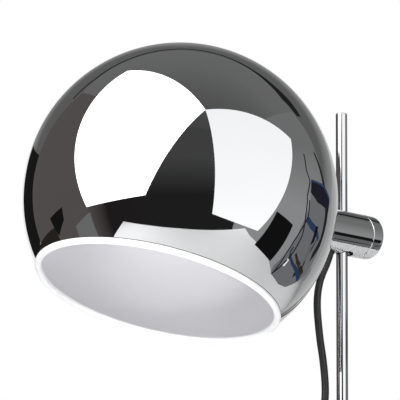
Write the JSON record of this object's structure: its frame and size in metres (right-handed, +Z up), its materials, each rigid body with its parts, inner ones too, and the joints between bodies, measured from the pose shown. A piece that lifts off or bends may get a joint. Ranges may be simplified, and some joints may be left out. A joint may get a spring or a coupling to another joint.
{
  "type": "table lamp",
  "caption": "Table lamp with a polished ball shade open at the bottom, carried by a cylindrical clamp that slides and turns on a slim upright rod in a round weighted base.",
  "frame": {"origin": "centre of the base's underside, on the axis of the upright rod, at table height", "axes": "+Z up the rod; the clamp's axis is parallel to X, with its knob towards +X and the ball shade towards -X; the flex leaves the back of the base towards +Y"},
  "size_m": [0.355, 0.4085, 0.474],
  "materials": {
    "chrome": "polished chrome plate",
    "shade_chrome": "polished chrome outside, matt white paint inside",
    "white_trim": "matt white enamel",
    "white_nylon": "natural nylon",
    "brass": "turned brass",
    "zinc_steel": "zinc-plated steel",
    "cast_iron": "black painted casting",
    "felt": "black felt on board",
    "black_plastic": "black moulded plastic, satin",
    "black_holder": "black phenolic",
    "black_flex": "black PVC-sheathed flex",
    "soft_black": "soft black PVC",
    "ceramic": "unglazed porcelain",
    "bulb_cap": "bright pressed cap",
    "opal_glass": "opal white",
    "prong": "nickel-plated brass"
  },
  "bodies": {
    "base": {"base_cover": "chrome", "base_weight": "cast_iron", "base_pad": "felt", "foot_washer": "zinc_steel", "foot_spring_washer": "zinc_steel", "foot_nut": "zinc_steel", "rod": "chrome", "rod_collar": "chrome", "inlet_bush": "black_plastic", "exit_bush": "soft_black", "cord_grip": "black_plastic", "cord_grip_screws": "zinc_steel", "cord_lower": "black_flex", "cord_in_base": "black_flex", "cord_lead": "black_flex", "cord_tail": "black_flex", "cord_coil": "black_flex", "cord_end": "black_flex", "coil_tie": "soft_black", "plug_body": "black_plastic", "plug_relief": "soft_black", "plug_prongs": "prong", "switch_case_lower": "black_plastic", "switch_case_upper": "black_plastic", "switch_screws": "zinc_steel", "switch_reliefs": "soft_black", "rocker_pin": "zinc_steel"},
    "sleeve": {"rod_liner": "white_nylon", "cord_upper": "black_flex"},
    "clamp": {"clamp_body": "chrome", "outlet_bush": "black_plastic", "pivot_tube": "zinc_steel", "seat_collar": "chrome", "inner_washer": "white_nylon", "pivot_spring_washer": "zinc_steel", "pivot_nut": "zinc_steel", "holder_cap": "black_holder", "holder_core": "ceramic", "holder_sleeve": "black_holder", "holder_thread": "brass", "holder_contact": "brass", "bulb_cap": "bulb_cap", "bulb_glass": "opal_glass", "holder_wires": "black_flex"},
    "shade": {"shade_shell": "shade_chrome", "mouth_ring": "white_trim"},
    "pad": {"clamp_pad": "brass"},
    "knob": {"clamp_knob": "chrome", "clamp_screw": "zinc_steel"},
    "rocker": {"switch_rocker": "black_plastic"}
  },
  "joints": [
    {"name": "head_slide", "type": "slide", "parent": "base", "child": "sleeve", "axis": [0, 0, 1], "range_m": [-0.22, 0.03], "deforming": ["cord_lower"]},
    {"name": "head_swivel", "type": "hinge", "parent": "sleeve", "child": "clamp", "pos_m": [0, 0, 0.374], "axis": [0, 0, 1], "range_deg": [-150, 150], "deforming": ["cord_upper"]},
    {"name": "shade_tilt", "type": "hinge", "parent": "clamp", "child": "shade", "pos_m": [-0.145, 0, 0.374], "axis": [1, 0, 0], "continuous": true},
    {"name": "pad_slide", "type": "slide", "parent": "clamp", "child": "pad", "axis": [1, 0, 0], "range_m": [0, 0.001]},
    {"name": "knob_turn", "type": "hinge", "parent": "pad", "child": "knob", "pos_m": [0.021, 0, 0.374], "axis": [1, 0, 0], "range_deg": [0, 360]},
    {"name": "rocker_turn", "type": "hinge", "parent": "base", "child": "rocker", "pos_m": [0.005, 0.285, 0.0155], "axis": [0, -1, 0], "range_deg": [0, 16]}
  ],
  "couplings": [
    {"joint": "knob_turn", "follows": "pad_slide", "rad_per_m": 6283.2}
  ]
}
